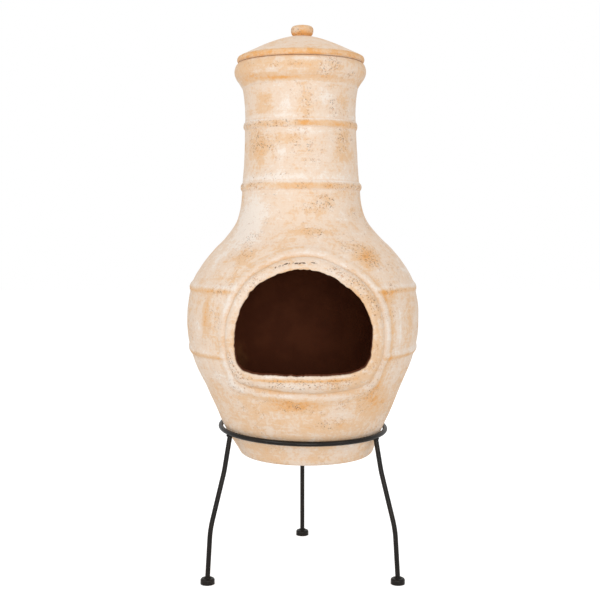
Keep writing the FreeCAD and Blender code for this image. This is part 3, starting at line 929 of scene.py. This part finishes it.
# Limewashed earthenware. One mark says where the wash is thin, and the same mark also carries painted
# highlights (paler) and painted shade (more orange) round the mouth, on the coils and under the rim's
# roll;
# noise of several sizes breaks its edge; pits are cells of a Voronoi pattern and worms of noise, kept
# where "pocks" is high
def limewashedClay(name, shift=0.0):
    material = bpy.data.materials.new(name)
    paint = Paint(material)
    look = {key: card(*value) for key, value in clayColours.items()}
    cloud = paint.noise(34.0, 3.0, 0.6, 0.3)
    blotch = paint.noise(96.0, 5.0, 0.74, 0.6)
    stroke = paint.noise((34.0, 34.0, 380.0), 3.0, 0.6)
    mottle = paint.noise(260.0, 4.0, 0.7)
    speckle = paint.noise(640.0, 2.0, 0.6)
    bareAndPaintedLight = paint.mark("bareAndPaintedLight") + (cloud - 0.5) * 0.55 + (blotch - 0.5) * 1.55
    bareAndPaintedLight = bareAndPaintedLight + (stroke - 0.5) * 0.6 + (mottle - 0.5) * 0.8 + shift
    colour = paint.mix(bareAndPaintedLight.between(-0.52, -0.06), look["limewash"], look["thinWash"])
    colour = paint.mix(bareAndPaintedLight.between(-0.02, 0.34), colour, look["clay"])
    colour = paint.mix(bareAndPaintedLight.between(0.38, 1.05), colour, look["rawOrange"])

    worn = (paint.mark("pocks") + (paint.noise(60.0, 4.0, 0.6) - 0.5) * 1.8).between(0.0, 0.62)
    cells = paint.add("ShaderNodeTexVoronoi", {"feature": "F1"},
                      {"Vector": paint.scaled(270.0), "Scale": 1.0})
    pits = (1 - cells.between(0.12, 0.38)) * worn * paint.noise(150.0, 1.0).between(0.38, 0.56)
    worms = paint.noise(300.0, 2.0, 0.5, 0.6).between(0.57, 0.66) * (worn * 0.92 + 0.08)
    tint = paint.mix(paint.noise(44.0).between(0.4, 0.6), look["pock"], look["greyPock"])
    colour = paint.mix(worms * 0.62, colour, look["rust"])
    colour = paint.mix(pits * 0.74, colour, tint)
    dust = speckle.between(0.60, 0.74) * (worn * 0.45 + 0.16)
    colour = paint.mix(dust, colour, look["pock"])
    # this mark is the drying crack and also painted shade lines in the lip's crease
    crackAndCreaseShade = paint.mark("crackAndCreaseShade") * (paint.noise(260.0, 2.0).between(0.34, 0.56) * 0.8 + 0.2)
    colour = paint.mix(crackAndCreaseShade.between(0.15, 0.75) * 0.85, colour, look["crackAndCreaseShade"])

    # painted shade: this mark colours the inside of the pot, neck and rim and the underside of the lid
    # dark brown, darker deeper in, where shade falls
    paintedShade = paint.mark("paintedShade")
    paintedShade = paintedShade + (paint.noise(70.0, 3.0) - 0.5) * 0.3 * paintedShade.between(0.0, 0.3)
    paintedShadeTone = paint.mix(paint.noise(26.0, 3.0).between(0.35, 0.65), look["paintedShade"], look["deepPaintedShade"])
    colour = paint.mix(paintedShade.between(0.05, 0.85), colour, paintedShadeTone)

    grain = paint.noise(430.0, 4.0, 0.7)
    tooling = paint.noise((36.0, 36.0, 300.0), 2.0)
    height = grain * 0.45 + tooling * 0.5 + mottle * 0.6 - pits * 1.2 - worms * 0.5 - crackAndCreaseShade * 2.0
    bump = paint.add("ShaderNodeBump", sockets={
        "Height": height, "Strength": 0.6, "Distance": 1.0 * mm})
    paint.finish(colour, 0.84 + (mottle - 0.5) * 0.16, bump, 0.22)
    return material


paintColours = {"black": (17, 12, 8), "brown": (32, 24, 17), "worn": (78, 70, 62)}


# Brushed black paint over round bar: a faint ripple, slightly uneven gloss, worn brown in places
def blackPaint(name, rough=0.30, lumpy=0.25):
    material = bpy.data.materials.new(name)
    paint = Paint(material)
    look = {key: card(*value) for key, value in paintColours.items()}
    ripple = paint.noise(380.0, 2.0)
    slow = paint.noise(24.0, 3.0)
    colour = paint.mix(slow.between(0.42, 0.7), look["black"], look["brown"])
    colour = paint.mix(paint.noise(700.0, 1.0).between(0.66, 0.76) * 0.5, colour, look["worn"])
    bump = paint.add("ShaderNodeBump", sockets={
        "Height": ripple + slow * 0.4, "Strength": lumpy, "Distance": 0.5 * mm})
    paint.finish(colour, rough + (slow - 0.5) * 0.18, bump, 0.30)
    return material


# Takes on a finish: a CAD part keeps its slots and gets the new material in each
def wear(piece, material):
    if len(piece.data.materials) == 0:
        piece.data.materials.append(material)
    for k in range(len(piece.data.materials)):
        piece.data.materials[k] = material


wash = limewashedClay("limewashed_clay")
coilClay = limewashedClay("rubbed_coil_clay", 0.05)
knobClay = limewashedClay("bare_orange_clay", 0.1)
barPaint = blackPaint("black_bar_paint")
weldPaint = blackPaint("black_weld_paint", 0.42, 0.8)
for piece in (firePot, chimneyNeck, rolledRim, domedLid):
    wear(piece, wash)
for piece in neckCoils:
    wear(piece, coilClay)
wear(roundKnob, knobClay)
for name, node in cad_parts.items():
    if name.startswith(("stand_", "leg_", "foot_", "ring_")):
        wear(node, weldPaint if "weld" in name else barPaint)
for piece in beads:
    wear(piece, weldPaint)
wear(barRing, barPaint)
print("finishes painted")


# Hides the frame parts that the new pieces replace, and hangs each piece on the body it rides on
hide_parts("fire_bowl", "belly_wall", "shoulder", "mouth_collar", "mouth_fold",
            "belly_band_lower", "belly_band_upper")
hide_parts("chimney")
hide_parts("chimney_rim")
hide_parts("neck_band_lower")
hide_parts("neck_band_upper")
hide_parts("lid")
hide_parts("lid_knob")
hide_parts("stand_ring", "ring_seam_weld")
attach(barRing, "stand")
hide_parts("leg_welds")
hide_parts("foot_welds")
for piece, slot in ((firePot, "clay_body"), (chimneyNeck, "clay_body"), (rolledRim, "clay_rim"),
                    (neckCoils[0], "clay_coil"), (neckCoils[1], "clay_coil"),
                    (domedLid, "clay_lid"), (roundKnob, "clay_knob")):
    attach(piece, "lid" if piece in (domedLid, roundKnob) else "pot")
for piece in beads:
    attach(piece, "stand")


# Studio, in metres; a lamp is its place, size and power
studio = {
    "floor": 14.0,
    "camera": (-0.0043, -1.738, 0.582),
    "tilt": 4.30,                  # degrees below level
    "lens": 62.9,
    "sky": 0.65,
    "glow": 0.5,                   # whitens the floor and the wall behind it for the camera only
    "lamps": [((-1.9, -2.2, 1.9), 1.6, 21.0), ((0.25, -2.9, 0.8), 1.3, 17.0),
              ((1.9, -1.6, 1.4), 1.6, 6.0), ((0.2, 1.7, 2.4), 1.8, 14.0)],
    "aim": (0, 0, 0.5),            # what the lamps point at
}


def makeFloor():
    skin = Skin()
    half = studio["floor"] / 2
    x, y = np.meshgrid(np.linspace(-half, half, 3), np.linspace(-half, half, 3))
    skin.quads(skin.add(np.stack([x, y, 0 * x], -1)))
    floor = skin.build("floor")
    material = bpy.data.materials.new("pale_floor")
    paint = Paint(material)
    matt = paint.add("ShaderNodeBsdfDiffuse", sockets={"Color": (0.88, 0.88, 0.88, 1)})
    glow = paint.add("ShaderNodeEmission", sockets={"Strength": studio["glow"]})
    seen = paint.add("ShaderNodeLightPath")
    both = paint.add("ShaderNodeAddShader", sockets={0: matt, 1: glow})
    surface = paint.add("ShaderNodeMixShader", sockets={0: seen, 1: matt, 2: both})
    paint.add("ShaderNodeOutputMaterial", sockets={"Surface": surface})
    wear(floor, material)


def makeLamp(place, size, power):
    light = bpy.data.lights.new("soft_lamp", "AREA")
    light.shape = "DISK"
    light.size = size
    light.energy = power
    lamp = bpy.data.objects.new("soft_lamp", light)
    bpy.context.scene.collection.objects.link(lamp)
    lamp.location = place
    x, y, z = np.array(studio["aim"]) - place
    lamp.rotation_euler = (math.atan2(math.hypot(x, y), -z), 0, math.atan2(y, x) - math.pi / 2)


def makeSky():
    world = bpy.data.worlds.new("white_room")
    bpy.context.scene.world = world
    white = (1, 1, 1, 1)
    paint = Paint(world)
    room = paint.add("ShaderNodeBackground", sockets={"Color": white, "Strength": studio["sky"]})
    wall = paint.add("ShaderNodeBackground", sockets={"Color": white})
    seen = paint.add("ShaderNodeLightPath")
    both = paint.add("ShaderNodeMixShader", sockets={0: seen, 1: room, 2: wall})
    paint.add("ShaderNodeOutputWorld", sockets={"Surface": both})


def makeCamera():
    data = bpy.data.cameras.new("camera")
    data.lens = studio["lens"]
    data.sensor_width = 36.0
    camera = bpy.data.objects.new("camera", data)
    bpy.context.scene.collection.objects.link(camera)
    camera.location = studio["camera"]
    camera.rotation_euler = (math.radians(90 - studio["tilt"]), 0, 0)
    bpy.context.scene.camera = camera


makeFloor()
for lamp in studio["lamps"]:
    makeLamp(*lamp)
makeSky()
makeCamera()
bpy.context.scene.view_settings.view_transform = "Standard"
print("studio set")
